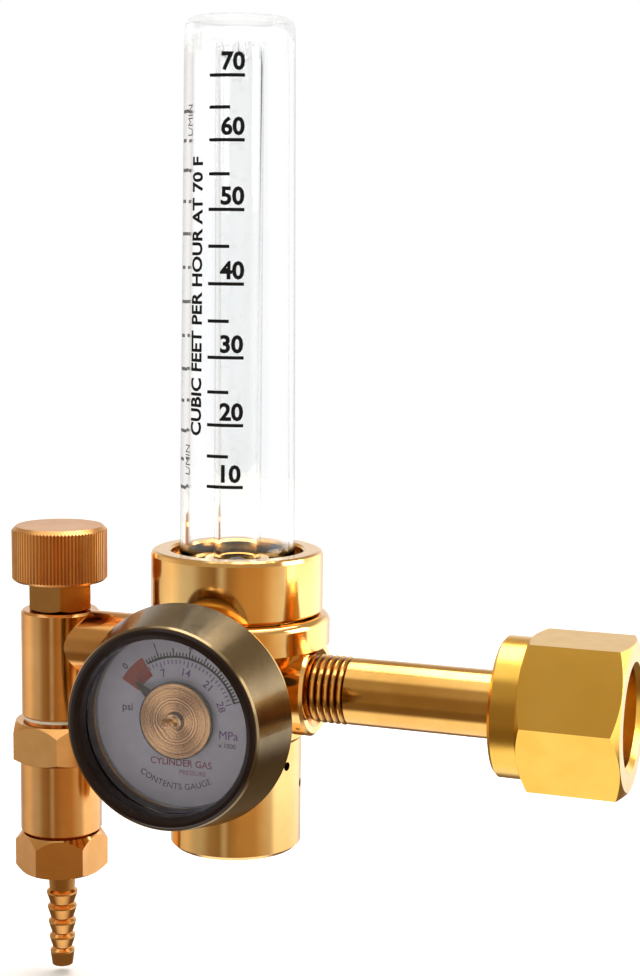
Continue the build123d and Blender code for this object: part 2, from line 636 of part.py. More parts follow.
def hairspring():
    """A flat spiral strip of three turns."""
    steps, turns, inner, outer, half = 90, 3.0, 0.95, 2.1, 0.06
    angles = [turns * tau * i / steps for i in range(steps + 1)]
    radii = [inner + (outer - inner) * i / steps for i in range(steps + 1)]
    out = [((r + half) * cos(a), (r + half) * sin(a)) for r, a in zip(radii, angles)]
    back = [((r - half) * cos(a), (r - half) * sin(a)) for r, a in zip(radii, angles)]
    return extrude(make_face(Polyline(*out, *reversed(back), close=True)), 0.5)


# ---------------------------------------------------------------- needle valve
def make_valve_body():
    """The upright valve body and the threaded arm that holds it on the main body."""
    body = turned(
        (0, VALVE_LOW),
        (VALVE_R - 0.4, VALVE_LOW),
        (VALVE_R, VALVE_LOW + 0.4),
        (VALVE_R, VALVE_TOP - 0.5),
        (VALVE_R - 0.5, VALVE_TOP),
        (0, VALVE_TOP),
    )
    shoulder = -VALVE_X - OUTLET_BOSS_D - 0.2
    arm_end = -VALVE_X - 11.2
    arm = turned((0, 0), (ARM_R, 0), (ARM_R, shoulder - EDGE), (PORT_R, shoulder),
                 (PORT_R, arm_end), (0, arm_end))
    body += to_x(arm, ARM_Z)
    body -= to_x(rod(OUTLET_R, 0, arm_end + PAST), ARM_Z)
    body -= rod(GLAND_SHANK_R, GLAND_SEAT_Z, VALVE_TOP + PAST)
    body -= rod(3.2, NEEDLE_SEAT_Z, GLAND_SEAT_Z + 0.1)
    body -= rod(NEEDLE_SEAT_R, -4, NEEDLE_SEAT_Z + 0.1)
    body -= rod(ADAPTER_BORE_R, VALVE_LOW - PAST, -3)
    body -= rod(ADAPTER_SHANK_R, VALVE_LOW - PAST, -6.0)
    save("valve_body", at_valve(body))


def make_valve_top():
    """Gland nut, rising stem with its seal, and the knurled knob."""
    gland = coned_hexagon(GLAND_AF, VALVE_TOP + 0.1, GLAND_TOP, turn=-122)
    gland += rod(GLAND_SHANK_R, GLAND_SEAT_Z + 0.1, VALVE_TOP + 0.2)
    gland -= rod(VALVE_STEM_R + RUN, GLAND_SEAT_Z - PAST, GLAND_TOP + PAST)
    save("gland_nut", at_valve(gland))

    stem_top, groove_r, groove_z = 27.4, 1.75, 13.85
    stem = turned(
        (0, -1.0),
        (0.3, -1.0),
        (2.0, 3.9),
        (2.0, 6.2),
        (VALVE_STEM_R, 6.4),
        (VALVE_STEM_R, groove_z - 0.45),
        (groove_r, groove_z - 0.45),
        (groove_r, groove_z + 0.45),
        (VALVE_STEM_R, groove_z + 0.45),
        (VALVE_STEM_R, stem_top),
        (0, stem_top),
    )
    flat_y = VALVE_STEM_R - 0.5
    flat = Pos(0, flat_y, GRUB_Z - 2) * Box(6, 2, 5, align=(Align.CENTER, Align.MIN, Align.MIN))
    save("valve_stem", at_valve(stem - flat))
    save("stem_o_ring", at_valve(o_ring(2.12, 0.34, groove_z)))

    knob = knurled(KNOB_R, KNOB_LOW, KNOB_TOP)
    knob -= rod(7.9, KNOB_LOW - PAST, GLAND_TOP + 2.2)
    knob -= rod(VALVE_STEM_R, GLAND_TOP, stem_top)
    lay_back = Pos(0, 0, GRUB_Z) * Rot(-90, 0, 0)
    save("knob", at_valve(knob - lay_back * rod(GRUB_R, flat_y, KNOB_R + PAST)))
    screw = rod(GRUB_R, flat_y, 8.6) - Rot(0, 0, 15) * hexagon(1.5, 6.8, 9)
    save("knob_set_screw", at_valve(lay_back * screw))


def knurled(radius, low, high):
    """A round grip with straight knurling and plain chamfered ends."""
    step = tau / KNURLS
    points = []
    for index in range(KNURLS):
        for r, offset in ((radius - 0.28, 0.0), (radius, 0.35), (radius, 0.65)):
            angle = (index + offset) * step
            points.append((r * cos(angle), r * sin(angle)))
    grip = Pos(0, 0, low) * extrude(make_face(Polyline(*points, close=True)), high - low)
    envelope = turned((0, low), (radius - 0.6, low), (radius, low + 0.6), (radius, high - 0.9),
                      (radius - 0.9, high), (0, high))
    return grip & envelope


# ---------------------------------------------------------------- outlet
def make_outlet():
    """Adapter with its washer, hose nut and barbed nipple."""
    save("adapter_washer", at_valve(ring(7.9, ADAPTER_SHANK_R + 0.05, ADAPTER_SHOULDER, VALVE_LOW)))
    adapter = rod(ADAPTER_SHANK_R - 0.05, ADAPTER_SHOULDER, -6.2)
    adapter += rod(7.5, ADAPTER_HEX_TOP - 0.2, ADAPTER_SHOULDER)
    adapter += coned_hexagon(ADAPTER_AF, ADAPTER_HEX_LOW, ADAPTER_HEX_TOP, turn=-67, top_rise=2.0)
    adapter += turned((0, ADAPTER_LOW), (ADAPTER_R - EDGE, ADAPTER_LOW), (ADAPTER_R, ADAPTER_LOW + EDGE),
                      (ADAPTER_R, ADAPTER_HEX_LOW), (0, ADAPTER_HEX_LOW))
    adapter += rod(OUTLET_THREAD_R, OUTLET_THREAD_LOW, ADAPTER_LOW)
    adapter -= rod(ADAPTER_BORE_R, OUTLET_THREAD_LOW - PAST, -6)
    cone_top = OUTLET_THREAD_LOW + 2.6
    adapter -= turned((0, OUTLET_THREAD_LOW), (5.2, OUTLET_THREAD_LOW),
                      (ADAPTER_BORE_R, cone_top), (0, cone_top))
    save("outlet_adapter", at_valve(adapter))

    collar_z = OUTLET_THREAD_LOW - 1.0
    nut = coned_hexagon(HOSE_AF, HOSE_NUT_LOW, HOSE_NUT_TOP, turn=-96, top_rise=2.2)
    nut -= rod(OUTLET_THREAD_R, collar_z, HOSE_NUT_TOP + PAST)
    nut -= rod(3.9, HOSE_NUT_LOW - PAST, collar_z + 0.2)
    save("hose_nut", at_valve(nut))

    head = [(BARB_BORE_R, -40.2), (3.1, -40.2), (5.0, -42.25), (6.3, -42.4), (6.3, collar_z), (3.8, collar_z)]
    neck = [(3.8, HOSE_NUT_LOW - 0.2), (2.95, HOSE_NUT_LOW - 0.8)]
    tip = [(2.3, BARB_TIP_Z + 0.6), (2.2, BARB_TIP_Z), (BARB_BORE_R, BARB_TIP_Z)]
    save("hose_barb", at_valve(turned(*head, *neck, *barbs(), *tip)))


def barbs():
    """Half-outline points of the barbs, each a slope down to a sharp crest."""
    points = []
    for index in range(BARB_COUNT):
        shoulder = BARB_FIRST_Z - index * BARB_PITCH
        crest = BARB_TOP_R - (BARB_TOP_R - BARB_TIP_R) * index / (BARB_COUNT - 1)
        points += [(crest - 0.6, shoulder + 0.5), (crest, shoulder), (crest, shoulder - 0.4)]
    return points


def main():
    make_body()
    make_piston_housing()
    make_piston_group()
    make_inlet()
    make_flow_tube()
    make_gauge_shell()
    make_pinion_and_pointer()
    make_sector()
    make_bourdon_tube()
    make_movement_frame()
    make_valve_body()
    make_valve_top()
    make_outlet()


main()
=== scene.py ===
"""Finishes, prints and studio for a brass gas flowmeter regulator.

Everything is in metres, in the part's own frame: +X out of the inlet nut, +Z up the flow tube,
and the gauge facing -Y.
"""
import math

import bmesh
import bpy
from bpy.props import FloatProperty, FloatVectorProperty, IntProperty, PointerProperty, StringProperty
from mathutils import Matrix, Vector


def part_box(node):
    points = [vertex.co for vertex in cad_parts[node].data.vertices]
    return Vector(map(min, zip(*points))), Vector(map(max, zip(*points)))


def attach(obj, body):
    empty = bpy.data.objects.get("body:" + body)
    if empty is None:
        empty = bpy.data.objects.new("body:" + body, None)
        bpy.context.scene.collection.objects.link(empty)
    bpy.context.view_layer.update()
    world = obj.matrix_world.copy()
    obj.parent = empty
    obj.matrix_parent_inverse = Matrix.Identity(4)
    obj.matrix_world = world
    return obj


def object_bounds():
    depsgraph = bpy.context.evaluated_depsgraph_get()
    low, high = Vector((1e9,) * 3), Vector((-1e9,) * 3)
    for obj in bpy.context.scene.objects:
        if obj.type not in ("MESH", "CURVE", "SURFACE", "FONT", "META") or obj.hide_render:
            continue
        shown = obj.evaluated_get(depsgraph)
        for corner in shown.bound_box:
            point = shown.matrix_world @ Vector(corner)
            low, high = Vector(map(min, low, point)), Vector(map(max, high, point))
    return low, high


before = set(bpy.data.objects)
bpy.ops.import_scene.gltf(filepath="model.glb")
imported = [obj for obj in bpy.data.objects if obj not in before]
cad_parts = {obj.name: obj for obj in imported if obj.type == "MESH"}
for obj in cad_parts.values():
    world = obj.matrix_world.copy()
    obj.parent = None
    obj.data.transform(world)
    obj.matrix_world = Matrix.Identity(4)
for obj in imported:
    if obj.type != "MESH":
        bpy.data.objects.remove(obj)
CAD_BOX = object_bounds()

bl_info = {
    "name": "Gas flowmeter regulator",
    "version": (1, 0, 0),
    "blender": (4, 5, 0),
    "location": "3D View > Sidebar > Regulator",
    "description": "Metal finishes, printed scales and a studio for a brass flowmeter regulator",
    "category": "Object",
}

MM = 0.001
PRINT_LIFT = 0.01 * MM        # between a surface and the ink on it
INK_DEPTH = 0.03 * MM


# ---------------------------------------------------------------- places, from the frame
def middle(node):
    """The centre of a node's box."""
    low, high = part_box(node)
    return (Vector(low) + Vector(high)) / 2


BODY_AXIS = Vector((middle("tube_ring_nut").x, 0, 0))
GAUGE_CENTRE = middle("gauge_dial")
DIAL_FACE_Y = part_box("gauge_dial")[0][1]
COVER_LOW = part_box("tube_ring_nut")[1][2] - 3.0 * MM
COVER_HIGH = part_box("flow_tube_cover")[1][2] - 1.4 * MM
COVER_LOW_R, COVER_HIGH_R = 11.7 * MM, 10.9 * MM
COVER_POLISHED = 6 * MM       # how far the cover's flame polish reaches down from its closed end
THREAD_ROOT_R, THREAD_CREST_R = 6.4 * MM, 6.68 * MM
# past this radius the pointer is black: its painted tip, and its rim as painted shade
POINTER_DISC_R = 7.2 * MM
CAMERA_AIM = BODY_AXIS + Vector((17.65 * MM, 0, 40.56 * MM))
LIGHTS_AIM = Vector((-0.06, 0, 0.02))


# ---------------------------------------------------------------- shared helpers
def linear(code):
    """An sRGB hex colour as linear RGBA."""
    parts = [int(code[i:i + 2], 16) / 255 for i in (1, 3, 5)]
    return tuple(p / 12.92 if p <= 0.04045 else ((p + 0.055) / 1.055) ** 2.4 for p in parts) + (1.0,)


def per_mm(size):
    """A noise scale whose blotches are about this many millimetres across."""
    return 1 / (size * MM)


def bands_per_mm(period):
    """A wave texture scale whose bands repeat at this many millimetres."""
    return math.pi / (10 * period * MM)


def add(tree, kind, settings=None, links=None):
    """Adds one shader node: settings by input or attribute, stops for a ramp, links by input."""
    node = tree.nodes.new(kind)
    for name, value in (settings or {}).items():
        if name == "stops":
            ramp = node.color_ramp
            for place, colour in value[1:-1]:
                ramp.elements.new(place).color = colour
            ramp.elements[0].position, ramp.elements[0].color = value[0]
            ramp.elements[-1].position, ramp.elements[-1].color = value[-1]
        elif isinstance(name, int) or name in node.inputs:
            node.inputs[name].default_value = value
        else:
            setattr(node, name, value)
    for name, source in (links or {}).items():
        tree.links.new(source, node.inputs[name])
    return node


def surface(name, **settings):
    """A new material with its shader set, and its node tree."""
    material = bpy.data.materials.new(name)
    material.use_nodes = True
    shader = material.node_tree.nodes["Principled BSDF"]
    for key, value in settings.items():
        shader.inputs[key.replace("_", " ")].default_value = value
    return material, material.node_tree, shader


def coat(material, *nodes):
    """Gives CAD nodes a material."""
    for name in nodes:
        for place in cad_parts[name].material_slots:
            place.material = material


def piece(bm, name, material, body):
    """Closes a shape into a named piece of the object."""
    bmesh.ops.recalc_face_normals(bm, faces=bm.faces)
    mesh = bpy.data.meshes.new(name)
    bm.to_mesh(mesh)
    bm.free()
    mesh.materials.append(material)
    made = bpy.data.objects.new(name, mesh)
    bpy.context.scene.collection.objects.link(made)
    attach(made, body)
    return made


def lettering(words, height, weight=0.0):
    """Flat letters of a given height, centred on the origin, standing up from z = 0."""
    curve = bpy.data.curves.new("letters", "FONT")
    curve.body = words
    curve.resolution_u = 3
    curve.extrude = 0.01
    curve.offset = weight
    holder = bpy.data.objects.new("letters", curve)
    mesh = bpy.data.meshes.new_from_object(holder)
    bm = bmesh.new()
    bm.from_mesh(mesh)
    bpy.data.objects.remove(holder)
    bpy.data.curves.remove(curve)
    bpy.data.meshes.remove(mesh)
    bmesh.ops.remove_doubles(bm, verts=bm.verts, dist=1e-5)
    low = Vector([min(v.co[i] for v in bm.verts) for i in range(3)])
    high = Vector([max(v.co[i] for v in bm.verts) for i in range(3)])
    centre = (low + high) / 2
    centre.z = low.z
    scale = height / (high.y - low.y)
    bmesh.ops.translate(bm, verts=bm.verts, vec=-centre)
    bmesh.ops.scale(bm, verts=bm.verts, vec=(scale, scale, INK_DEPTH / (high.z - low.z)))
    return bm


def bar(width, height):
    """A flat inked bar centred on the origin."""
    bm = bmesh.new()
    bmesh.ops.create_cube(bm, size=1.0)
    bmesh.ops.scale(bm, verts=bm.verts, vec=(width, height, INK_DEPTH))
    bmesh.ops.translate(bm, verts=bm.verts, vec=(0, 0, INK_DEPTH / 2))
    return bm


def band(inner, outer, start, end):
    """A flat inked arc about the origin between two radii and two angles in degrees."""
    bm = bmesh.new()
    steps = max(4, int(abs(end - start) / 3))
    turn = Matrix.Rotation(math.radians(start), 4, "Z")
    ends = [bm.verts.new(turn @ Vector((radius, 0, 0))) for radius in (inner, outer)]
    edge = bm.edges.new(ends)
    bmesh.ops.spin(bm, geom=[*ends, edge], cent=(0, 0, 0), axis=(0, 0, 1),
                   angle=math.radians(end - start), steps=steps)
    raised = bmesh.ops.extrude_face_region(bm, geom=list(bm.faces), use_keep_orig=True)
    tops = [v for v in raised["geom"] if isinstance(v, bmesh.types.BMVert)]
    bmesh.ops.translate(bm, verts=tops, vec=(0, 0, INK_DEPTH))
    return bm


def gather(parts):
    """Joins placed shapes, given as (shape, matrix) pairs, into one."""
    whole = bmesh.new()
    for shape, place in parts:
        shape.transform(place)
        part = bpy.data.meshes.new("part")
        shape.to_mesh(part)
        shape.free()
        whole.from_mesh(part)
        bpy.data.meshes.remove(part)
    return whole


# ---------------------------------------------------------------- metal finishes
def machined_brass(name, pale, deep, roughness, mark_mm, direction="Z", wear=0.06):
    """Brass bar turned on a lathe and left bright: warm cloudy tint and fine cut rings."""
    material, tree, shader = surface(name, Metallic=1.0, Roughness=roughness)
    place = add(tree, "ShaderNodeTexCoord").outputs["Object"]
    clouds = add(tree, "ShaderNodeTexNoise", {"Scale": per_mm(14), "Detail": 4.0, "Roughness": 0.6},
                 {"Vector": place})
    specks = add(tree, "ShaderNodeTexNoise", {"Scale": per_mm(3.5), "Detail": 2.0}, {"Vector": place})
    blend = add(tree, "ShaderNodeMapRange", {"From Min": 0.35, "From Max": 0.75},
                {"Value": clouds.outputs[0]})
    tint = add(tree, "ShaderNodeMix", {"data_type": "RGBA", 6: pale, 7: deep}, {0: blend.outputs[0]})
    tree.links.new(tint.outputs[2], shader.inputs["Base Color"])
    dulled = add(tree, "ShaderNodeMapRange",
                 {"From Min": 0.3, "From Max": 0.8, "To Min": roughness, "To Max": roughness + wear},
                 {"Value": specks.outputs[0]})
    tree.links.new(dulled.outputs[0], shader.inputs["Roughness"])
    cuts = add(tree, "ShaderNodeTexWave",
               {"bands_direction": direction, "Scale": bands_per_mm(mark_mm), "Distortion": 0.6,
                "Detail": 2.0, "Detail Scale": 3.0}, {"Vector": place})
    relief = add(tree, "ShaderNodeBump", {"Strength": 0.05, "Distance": 0.02 * MM},
                 {"Height": cuts.outputs["Fac"]})
    tree.links.new(relief.outputs[0], shader.inputs["Normal"])
    return material


def polished_brass(looks):
    """Machined brass, polished and lacquered: deep gold with long soft reflections."""
    return machined_brass("polished_lacquered_brass", looks.brass, linear("#e8b268"), 0.09, 0.55)


def threaded_stem_brass():
    """The turned stem: bright along its length, with painted shade darkening the bottoms of the thread."""
    material = machined_brass("turned_stem_brass", linear("#e6b363"), linear("#d09a4c"), 0.12, 0.4, "X")
    tree = material.node_tree
    shader = tree.nodes["Principled BSDF"]
    place = add(tree, "ShaderNodeTexCoord").outputs["Object"]
    across = add(tree, "ShaderNodeVectorMath", {"operation": "MULTIPLY", 1: (0, 1, 1)}, {0: place})
    radius = add(tree, "ShaderNodeVectorMath", {"operation": "LENGTH"}, {0: across.outputs[0]})
    # painted shade: dark brown where the radius falls from the thread's crest to its bottom
    root_shade = add(tree, "ShaderNodeMapRange",
               {"From Min": THREAD_ROOT_R, "From Max": THREAD_CREST_R, "To Min": 1.0, "To Max": 0.0},
               {"Value": radius.outputs["Value"]})
    bright = shader.inputs["Base Color"].links[0].from_socket
    tint = add(tree, "ShaderNodeMix", {"data_type": "RGBA", 7: linear("#6e3a1a")},
               {0: root_shade.outputs[0], 6: bright})
    tree.links.new(tint.outputs[2], shader.inputs["Base Color"])
    return material


def forged_brass(looks):
    """Hot forged hexagon brass with milled flats: deeper mustard, with a pebbled skin."""
    material = machined_brass("forged_hexagon_brass", looks.nut_brass, linear("#e2ad45"), 0.2, 0.8, "X")
    tree = material.node_tree
    shader = tree.nodes["Principled BSDF"]
    place = add(tree, "ShaderNodeTexCoord").outputs["Object"]
    pebbles = add(tree, "ShaderNodeTexNoise", {"Scale": per_mm(1.6), "Detail": 5.0, "Roughness": 0.62},
                  {"Vector": place})
    relief = add(tree, "ShaderNodeBump", {"Strength": 0.2, "Distance": 0.08 * MM},
                 {"Height": pebbles.outputs[0]})
    tree.links.new(relief.outputs[0], shader.inputs["Normal"])
    return material


def satin_bronze(looks):
    """Bronze coloured plating over steel, rubbed dull: brown grey with a soft cloudy sheen."""
    material, tree, shader = surface("satin_bronze_plating", Metallic=1.0)
    place = add(tree, "ShaderNodeTexCoord").outputs["Object"]
    clouds = add(tree, "ShaderNodeTexNoise", {"Scale": per_mm(6), "Detail": 6.0, "Roughness": 0.65},
                 {"Vector": place})
    tint = add(tree, "ShaderNodeMix", {"data_type": "RGBA", 6: looks.bezel, 7: linear("#6c5a43")},
               {0: clouds.outputs[0]})
    tree.links.new(tint.outputs[2], shader.inputs["Base Color"])
    grain = add(tree, "ShaderNodeTexNoise", {"Scale": per_mm(0.5), "Detail": 2.0}, {"Vector": place})
    dulled = add(tree, "ShaderNodeMapRange", {"To Min": 0.13, "To Max": 0.25},
                 {"Value": grain.outputs[0]})
    tree.links.new(dulled.outputs[0], shader.inputs["Roughness"])
    relief = add(tree, "ShaderNodeBump", {"Strength": 0.08, "Distance": 0.03 * MM},
                 {"Height": grain.outputs[0]})
    tree.links.new(relief.outputs[0], shader.inputs["Normal"])
    return material


def spun_pointer(looks):
    """Spun brass disc with a black painted tip: radial painted highlights round a turned centre, and black
    on the disc's rim as painted shade.
    """
    material, tree, shader = surface("spun_brass_and_black_paint", Roughness=0.24, Specular_IOR_Level=0.1)
    place = add(tree, "ShaderNodeTexCoord").outputs["Object"]
    centred = add(tree, "ShaderNodeVectorMath", {"operation": "SUBTRACT", 1: GAUGE_CENTRE}, {0: place})
    flat = add(tree, "ShaderNodeVectorMath", {"operation": "MULTIPLY", 1: (1, 0, 1)},
               {0: centred.outputs[0]})
    radius = add(tree, "ShaderNodeVectorMath", {"operation": "LENGTH"}, {0: flat.outputs[0]})
    axes = add(tree, "ShaderNodeSeparateXYZ", {}, {0: flat.outputs[0]})
    angle = add(tree, "ShaderNodeMath", {"operation": "ARCTAN2"},
                {0: axes.outputs[2], 1: axes.outputs[0]})
    # painted highlight: three radial wedges of light, bent into a spiral by the radius, drawn into the
    # disc's colour
    fan = add(tree, "ShaderNodeMath", {"operation": "MULTIPLY_ADD", 1: 3.0, 2: 0.9},
              {0: angle.outputs[0]})
    swirl = add(tree, "ShaderNodeMath", {"operation": "MULTIPLY_ADD", 1: 160.0},
                {0: radius.outputs[1], 2: fan.outputs[0]})
    painted_highlight = add(tree, "ShaderNodeMath", {"operation": "SINE"}, {0: swirl.outputs[0]})
    fine = add(tree, "ShaderNodeTexNoise",
               {"noise_dimensions": "1D", "Scale": per_mm(0.28), "Detail": 3.0},
               {"W": radius.outputs[1]})
    rings = add(tree, "ShaderNodeMapRange", {"From Min": 0.3, "From Max": 0.7},
                {"Value": fine.outputs[0]})
    highlight_and_rings = add(tree, "ShaderNodeMath", {"operation": "MULTIPLY_ADD", 1: 0.3},
                {0: painted_highlight.outputs[0], 2: rings.outputs[0]})
    tint = add(tree, "ShaderNodeMix", {"data_type": "RGBA", 6: linear("#5c3b22"), 7: looks.pointer},
               {0: highlight_and_rings.outputs[0]})
    # black paint on the pointer's tip; past the same radius the disc's rim is black too, as painted shade
    # along its edge
    painted = add(tree, "ShaderNodeMath", {"operation": "GREATER_THAN", 1: POINTER_DISC_R},
                  {0: radius.outputs[1]})
    final = add(tree, "ShaderNodeMix", {"data_type": "RGBA", 7: linear("#14110f")},
                {0: painted.outputs[0], 6: tint.outputs[2]})
    tree.links.new(final.outputs[2], shader.inputs["Base Color"])
    bare = add(tree, "ShaderNodeMath", {"operation": "SUBTRACT", 0: 1.0}, {1: painted.outputs[0]})
    tree.links.new(bare.outputs[0], shader.inputs["Metallic"])
    relief = add(tree, "ShaderNodeBump", {"Strength": 0.15, "Distance": 0.05 * MM},
                 {"Height": fine.outputs[0]})
    tree.links.new(relief.outputs[0], shader.inputs["Normal"])
    return material


def drawn_steel(name, colour, roughness):
    """Drawn or ground steel: cool grey with a faint grain along it."""
    material, tree, shader = surface(name, Metallic=1.0)
    place = add(tree, "ShaderNodeTexCoord").outputs["Object"]
    grain = add(tree, "ShaderNodeTexNoise", {"Scale": per_mm(0.8), "Detail": 3.0}, {"Vector": place})
    tint = add(tree, "ShaderNodeMix", {"data_type": "RGBA", 6: colour, 7: linear("#6f7073")},
               {0: grain.outputs[0]})
    tree.links.new(tint.outputs[2], shader.inputs["Base Color"])
    dulled = add(tree, "ShaderNodeMapRange", {"To Min": roughness, "To Max": roughness + 0.2},
                 {"Value": grain.outputs[0]})
    tree.links.new(dulled.outputs[0], shader.inputs["Roughness"])
    return material


# ---------------------------------------------------------------- other finishes
def clear_moulding(name, tint, ior):
    """Clear moulded plastic or drawn glass: water clear, greyer where the wall is seen edge on."""
    material, tree, shader = surface(name, Roughness=0.0, IOR=ior, Transmission_Weight=1.0)
    place = add(tree, "ShaderNodeTexCoord").outputs["Object"]
    haze = add(tree, "ShaderNodeTexNoise", {"Scale": per_mm(18), "Detail": 2.0}, {"Vector": place})
    colour = add(tree, "ShaderNodeMix", {"data_type": "RGBA", 6: linear("#ffffff"), 7: tint},
                 {0: haze.outputs[0]})
    facing = add(tree, "ShaderNodeLayerWeight", {"Blend": 0.5})
    edge = add(tree, "ShaderNodeMapRange", {"From Min": 0.6, "From Max": 0.95},
               {"Value": facing.outputs["Facing"]})
    walled = add(tree, "ShaderNodeMix", {"data_type": "RGBA", 7: linear("#8a8f91")},
                 {0: edge.outputs[0], 6: colour.outputs[2]})
    tree.links.new(walled.outputs[2], shader.inputs["Base Color"])
    relief = add(tree, "ShaderNodeBump", {"Strength": 0.02, "Distance": 0.05 * MM},
                 {"Height": haze.outputs[0]})
    tree.links.new(relief.outputs[0], shader.inputs["Normal"])
    return material


def polished_cover():
    """Clear polycarbonate whose closed end is flame polished, so its rim hardly shows."""
    material = clear_moulding("moulded_clear_polycarbonate", linear("#fbfcfd"), 1.46)
    tree = material.node_tree
    place = add(tree, "ShaderNodeTexCoord").outputs["Object"]
    axes = add(tree, "ShaderNodeSeparateXYZ", {}, {0: place})
    end = add(tree, "ShaderNodeMapRange",
              {"From Min": COVER_HIGH - COVER_POLISHED, "From Max": COVER_HIGH - 1 * MM, "To Max": 0.72},
              {"Value": axes.outputs[2]})
    bare = add(tree, "ShaderNodeBsdfTransparent")
    both = add(tree, "ShaderNodeMixShader", {},
               {0: end.outputs[0], 1: tree.nodes["Principled BSDF"].outputs[0], 2: bare.outputs[0]})
    tree.links.new(both.outputs[0], tree.nodes["Material Output"].inputs["Surface"])
    return material


def glossy_moulding(name, colour, other, roughness, gloss=0.5):
    """Injection moulded plastic: even colour, glossy, with a slight orange peel."""
    material, tree, shader = surface(name, Roughness=roughness, Specular_IOR_Level=gloss)
    place = add(tree, "ShaderNodeTexCoord").outputs["Object"]
    peel = add(tree, "ShaderNodeTexNoise", {"Scale": per_mm(2.2), "Detail": 3.0}, {"Vector": place})
    tint = add(tree, "ShaderNodeMix", {"data_type": "RGBA", 6: colour, 7: other}, {0: peel.outputs[0]})
    tree.links.new(tint.outputs[2], shader.inputs["Base Color"])
    relief = add(tree, "ShaderNodeBump", {"Strength": 0.06, "Distance": 0.05 * MM},
                 {"Height": peel.outputs[0]})
    tree.links.new(relief.outputs[0], shader.inputs["Normal"])
    return material


def ink(name, colour):
    """Screen printed ink: solid, slightly uneven where the mesh let less through."""
    material, tree, shader = surface(name, Roughness=0.8, Specular_IOR_Level=0.1)
    place = add(tree, "ShaderNodeTexCoord").outputs["Object"]
    patch = add(tree, "ShaderNodeTexNoise", {"Scale": per_mm(0.5), "Detail": 2.0}, {"Vector": place})
    pale = tuple(0.8 * c + 0.01 for c in colour[:3]) + (1.0,)
    tint = add(tree, "ShaderNodeMix", {"data_type": "RGBA", 6: colour, 7: pale}, {0: patch.outputs[0]})
    tree.links.new(tint.outputs[2], shader.inputs["Base Color"])
    return material


# ---------------------------------------------------------------- what a user would change
class RegulatorLooks(bpy.types.PropertyGroup):
    brass: FloatVectorProperty(
        name="Brass", description="Colour of the polished body", subtype="COLOR", size=4,
        default=linear("#f0c27a"))
    nut_brass: FloatVectorProperty(
        name="Nut brass", description="Colour of the forged inlet nut", subtype="COLOR", size=4,
        default=linear("#e9b955"))
    bezel: FloatVectorProperty(
        name="Bezel", description="Colour of the gauge's bronze bezel", subtype="COLOR", size=4,
        default=linear("#8b7856"))
    pointer: FloatVectorProperty(
        name="Pointer", description="Colour of the spun pointer disc", subtype="COLOR", size=4,
        default=linear("#b08a62"))
    dial: FloatVectorProperty(
        name="Dial", description="Colour of the dial's paint", subtype="COLOR", size=4,
        default=linear("#aaa5b1"))


class RegulatorFlowScale(bpy.types.PropertyGroup):
    line_start: FloatProperty(
        name="Marks start", description="Angle round the cover where every mark starts",
        default=math.radians(-99.5), subtype="ANGLE")
    long_end: FloatProperty(
        name="Long marks end", description="Angle where the marks with figures end",
        default=math.radians(-62.7), subtype="ANGLE")
    short_end: FloatProperty(
        name="Short marks end", description="Angle where the marks between end",
        default=math.radians(-77.4), subtype="ANGLE")
    figure_angle: FloatProperty(
        name="Figures", description="Angle of the figures' middle", default=math.radians(-74.6),
        subtype="ANGLE")
    words_angle: FloatProperty(
        name="Words", description="Angle of the words' middle", default=math.radians(-114),
        subtype="ANGLE")
    words_height: FloatProperty(
        name="Words' height", description="Height of the words' middle above the inlet's axis",
        default=78 * MM, unit="LENGTH")
    first_height: FloatProperty(
        name="Height of 10", description="Height of the lowest printed mark above the inlet's axis",
        default=41.2 * MM, unit="LENGTH")
    rise: FloatProperty(
        name="Rise", description="Mean height between marks one unit apart", default=1.317 * MM,
        unit="LENGTH")
    bow: FloatProperty(
        name="Bow", description="How far the middle marks stray from even spacing", default=1.2 * MM,
        unit="LENGTH")
    line: FloatProperty(
        name="Line", description="Thickness of a mark", default=0.65 * MM, unit="LENGTH")
    figure: FloatProperty(
        name="Figure height", description="Height of the scale's figures", default=3.6 * MM, unit="LENGTH")
    top_mark: IntProperty(name="Top mark", description="Largest flow printed", default=70, min=20, max=90)
    words: StringProperty(
        name="Units", description="Words printed up the side", default="CUBIC FEET PER HOUR AT 70 F")


class RegulatorDial(bpy.types.PropertyGroup):
    scale_r: FloatProperty(
        name="Scale radius", description="Radius of the dial's printed arc", default=11.8 * MM,
        unit="LENGTH")
    start: FloatProperty(
        name="Zero", description="Angle of the zero mark", default=math.radians(140), subtype="ANGLE")
    sweep: FloatProperty(
        name="Sweep", description="Angle from the zero to the top mark", default=math.radians(120),
        subtype="ANGLE")
    divisions: IntProperty(name="Divisions", description="Marks on the outer scale", default=40, min=4)
    low_marks: IntProperty(
        name="Hidden marks", description="Marks the low band covers", default=6, min=0)
    band_inner_r: FloatProperty(
        name="Band inside", description="Inner radius of the low band", default=9.5 * MM, unit="LENGTH")
    band_outer_r: FloatProperty(
        name="Band outside", description="Outer radius of the low band", default=13.6 * MM, unit="LENGTH")
    edge_words_r: FloatProperty(
        name="Edge words", description="Radius of the words along the lower edge",
        default=13.1 * MM, unit="LENGTH")


class RegulatorStage(bpy.types.PropertyGroup):
    azimuth: FloatProperty(
        name="Azimuth", description="Camera's turn round the object", default=math.radians(19.48),
        subtype="ANGLE")
    elevation: FloatProperty(
        name="Elevation", description="Camera's height above the horizon", default=math.radians(7.43),
        subtype="ANGLE")
    distance: FloatProperty(
        name="Distance", description="From the camera to its aim", default=0.35646, unit="LENGTH")
    tilt: FloatProperty(
        name="Tilt", description="Camera's roll", default=math.radians(0.66), subtype="ANGLE")
    lens: FloatProperty(name="Lens", description="Focal length in millimetres", default=66.2)
    floor_radius: FloatProperty(
        name="Floor radius", description="Radius of the round floor", default=0.9, unit="LENGTH")
    floor_gap: FloatProperty(
        name="Floor gap", description="Air between the hose barb and the floor", default=2 * MM,
        unit="LENGTH")


